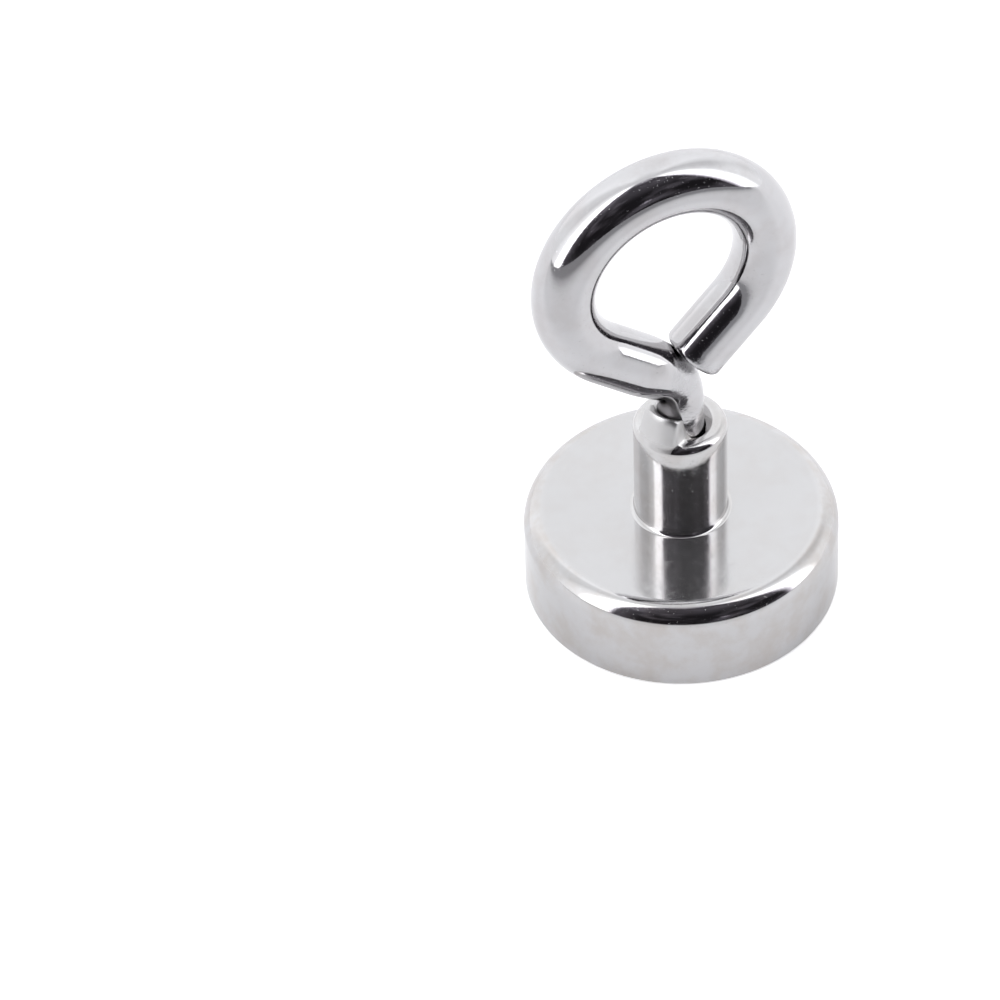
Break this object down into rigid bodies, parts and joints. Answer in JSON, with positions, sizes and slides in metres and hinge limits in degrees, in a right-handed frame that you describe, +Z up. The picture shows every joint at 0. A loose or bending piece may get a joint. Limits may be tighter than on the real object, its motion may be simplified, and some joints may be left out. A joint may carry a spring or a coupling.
{
  "type": "magnet fishing magnet",
  "caption": "Small plated steel pot magnet with a threaded boss on top and a screwed-in teardrop eyebolt for a line.",
  "frame": {"origin": "middle of the round working face, where the magnet rests", "axes": "+Z up along the boss and the eyebolt's shank, +X in the plane of the eye towards the side of the wire's free end, +Y through the eye"},
  "size_m": [0.025, 0.025, 0.0442],
  "materials": {
    "plated_steel": "bright nickel plate on turned and bent mild steel",
    "plated_magnet": "dull bright nickel plate on a ground sintered magnet",
    "resin": "cast black epoxy"
  },
  "bodies": {
    "magnet_body": {"steel_cup": "plated_steel", "threaded_boss": "plated_steel", "disc_magnet": "plated_magnet", "resin_ring": "resin", "magnet_bond_film": "resin"},
    "eyebolt_body": {"eyebolt": "plated_steel"}
  },
  "joints": [
    {"name": "eyebolt_turn", "type": "hinge", "parent": "magnet_body", "child": "eyebolt_body", "pos_m": [0, 0, 0.017], "axis": [0, 0, 1], "range_deg": [0, 3420]}
  ]
}
